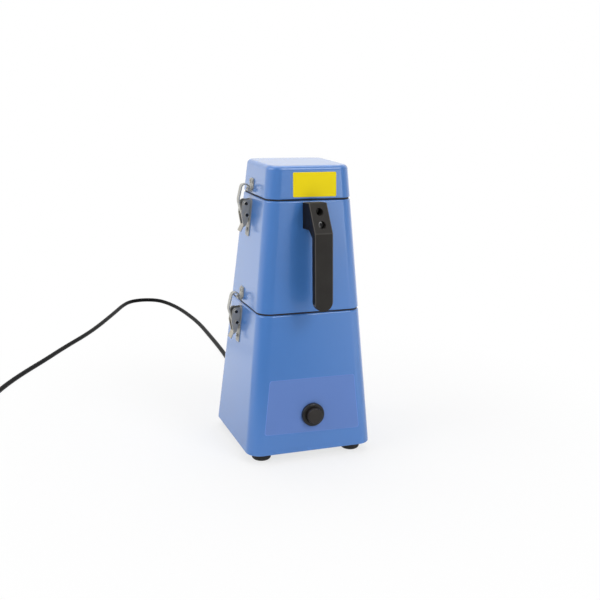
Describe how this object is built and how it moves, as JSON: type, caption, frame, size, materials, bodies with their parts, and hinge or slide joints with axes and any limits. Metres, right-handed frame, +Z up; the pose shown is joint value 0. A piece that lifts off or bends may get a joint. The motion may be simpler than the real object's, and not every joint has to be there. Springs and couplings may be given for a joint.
{
  "type": "analytical lab mill",
  "caption": "Bench-top batch mill: tapered motor housing on rubber feet, lift-off grinding chamber with front handle, latched lid, push button and mains cord.",
  "frame": {"origin": "on the table, under the middle of the four feet", "axes": "+Z up, the front with the handle and the button faces -Y, +X to the right seen from the front"},
  "size_m": [0.5898, 0.8982, 0.375],
  "materials": {
    "blue_paint": "smooth semi-gloss enamel, medium blue",
    "plain_steel": "zinc-plated sheet",
    "black_rubber": "matt black rubber",
    "zinc_plate": "bright zinc plate",
    "cast_aluminium": "cast, fine machined",
    "core_steel": "laminated electrical steel",
    "copper": "enamelled copper",
    "brass": "satin",
    "carbon": "carbon, matt",
    "ground_steel": "ground",
    "board_green": "solder mask",
    "black_plastic": "fine-textured black",
    "cord_black": "smooth flex jacket",
    "stainless": "brushed stainless steel",
    "driven_steel": "machined steel"
  },
  "bodies": {
    "base": {"motor_housing": "blue_paint", "base_plate": "plain_steel", "rubber_feet": "black_rubber", "foot_screws": "zinc_plate", "housing_gasket": "black_rubber", "upper_motor_bell": "cast_aluminium", "lower_motor_bell": "cast_aluminium", "stator_core": "core_steel", "stator_windings": "copper", "motor_bolts": "zinc_plate", "brush_holders": "brass", "carbon_brushes": "carbon", "motor_bearings": "ground_steel", "control_board": "board_green", "button_bezel": "black_plastic", "switch_block": "black_plastic", "strain_relief": "black_plastic", "power_cord": "cord_black", "cord_coil": "cord_black", "mains_plug": "black_plastic", "plug_pins": "brass", "lower_left_latch_base": "zinc_plate", "lower_right_latch_base": "zinc_plate", "lower_latch_pins": "zinc_plate", "lower_latch_screws": "zinc_plate"},
    "rotor": {"motor_shaft": "ground_steel", "armature": "core_steel", "commutator": "copper", "cooling_fan": "black_plastic", "drive_coupling": "black_plastic"},
    "button": {"button_cap": "black_plastic"},
    "chamber": {"chamber_housing": "blue_paint", "chamber_keepers": "zinc_plate", "chamber_screws": "zinc_plate", "grinding_cup": "stainless", "bearing_carrier": "cast_aluminium", "shaft_bearings": "ground_steel", "shaft_seal": "black_rubber", "handle": "black_plastic", "handle_screws": "stainless", "upper_left_latch_base": "zinc_plate", "upper_right_latch_base": "zinc_plate", "upper_latch_pins": "zinc_plate"},
    "blade": {"blade_shaft": "ground_steel", "driven_coupling": "driven_steel", "beater_blade": "stainless", "blade_nut": "stainless"},
    "lid": {"lid_shell": "blue_paint", "lid_liner": "stainless", "lid_seal": "black_rubber", "lid_keepers": "zinc_plate", "lid_screws": "zinc_plate"},
    "upper_left_lever": {"upper_left_latch_lever": "zinc_plate"},
    "upper_left_claw": {"upper_left_latch_claw": "zinc_plate"},
    "upper_right_lever": {"upper_right_latch_lever": "zinc_plate"},
    "upper_right_claw": {"upper_right_latch_claw": "zinc_plate"},
    "lower_left_lever": {"lower_left_latch_lever": "zinc_plate"},
    "lower_left_claw": {"lower_left_latch_claw": "zinc_plate"},
    "lower_right_lever": {"lower_right_latch_lever": "zinc_plate"},
    "lower_right_claw": {"lower_right_latch_claw": "zinc_plate"}
  },
  "joints": [
    {"name": "chamber_lift", "type": "slide", "parent": "base", "child": "chamber", "axis": [0, 0, 1], "range_m": [0, 0.08]},
    {"name": "lid_lift", "type": "slide", "parent": "chamber", "child": "lid", "axis": [0, 0, 1], "range_m": [0, 0.06]},
    {"name": "motor_spin", "type": "hinge", "parent": "base", "child": "rotor", "pos_m": [0, 0, 0.12], "axis": [0, 0, 1], "continuous": true},
    {"name": "blade_spin", "type": "hinge", "parent": "chamber", "child": "blade", "pos_m": [0, 0, 0.24], "axis": [0, 0, 1], "continuous": true},
    {"name": "button_press", "type": "slide", "parent": "base", "child": "button", "axis": [0, 0.9966, -0.0824], "range_m": [0, 0.003], "stiffness_N_per_m": 800, "springref_m": -0.002},
    {"name": "upper_left_lever_swing", "type": "hinge", "parent": "chamber", "child": "upper_left_lever", "pos_m": [-0.06611, 0.01, 0.32224], "axis": [0, 1, 0], "range_deg": [0, 95]},
    {"name": "upper_left_claw_swing", "type": "hinge", "parent": "upper_left_lever", "child": "upper_left_claw", "pos_m": [-0.06497, 0.01, 0.30758], "axis": [0, 1, 0], "range_deg": [-110, 0]},
    {"name": "upper_right_lever_swing", "type": "hinge", "parent": "chamber", "child": "upper_right_lever", "pos_m": [0.06611, 0.01, 0.32224], "axis": [0, -1, 0], "range_deg": [0, 95]},
    {"name": "upper_right_claw_swing", "type": "hinge", "parent": "upper_right_lever", "child": "upper_right_claw", "pos_m": [0.06497, 0.01, 0.30758], "axis": [0, -1, 0], "range_deg": [-110, 0]},
    {"name": "lower_left_lever_swing", "type": "hinge", "parent": "base", "child": "lower_left_lever", "pos_m": [-0.07834, 0.01, 0.18124], "axis": [0, 1, 0], "range_deg": [0, 95]},
    {"name": "lower_left_claw_swing", "type": "hinge", "parent": "lower_left_lever", "child": "lower_left_claw", "pos_m": [-0.07721, 0.01, 0.16658], "axis": [0, 1, 0], "range_deg": [-110, 0]},
    {"name": "lower_right_lever_swing", "type": "hinge", "parent": "base", "child": "lower_right_lever", "pos_m": [0.07834, 0.01, 0.18124], "axis": [0, -1, 0], "range_deg": [0, 95]},
    {"name": "lower_right_claw_swing", "type": "hinge", "parent": "lower_right_lever", "child": "lower_right_claw", "pos_m": [0.07721, 0.01, 0.16658], "axis": [0, -1, 0], "range_deg": [-110, 0]}
  ],
  "couplings": [
    {"joint": "blade_spin", "follows": "motor_spin", "ratio": 1},
    {"joint": "upper_left_lever_swing", "follows": "lid_lift", "rad_per_m": 27.605},
    {"joint": "upper_left_claw_swing", "follows": "lid_lift", "rad_per_m": -31.94},
    {"joint": "upper_right_lever_swing", "follows": "lid_lift", "rad_per_m": 27.605},
    {"joint": "upper_right_claw_swing", "follows": "lid_lift", "rad_per_m": -31.94},
    {"joint": "lower_left_lever_swing", "follows": "chamber_lift", "rad_per_m": 20.704},
    {"joint": "lower_left_claw_swing", "follows": "chamber_lift", "rad_per_m": -23.955},
    {"joint": "lower_right_lever_swing", "follows": "chamber_lift", "rad_per_m": 20.704},
    {"joint": "lower_right_claw_swing", "follows": "chamber_lift", "rad_per_m": -23.955}
  ]
}
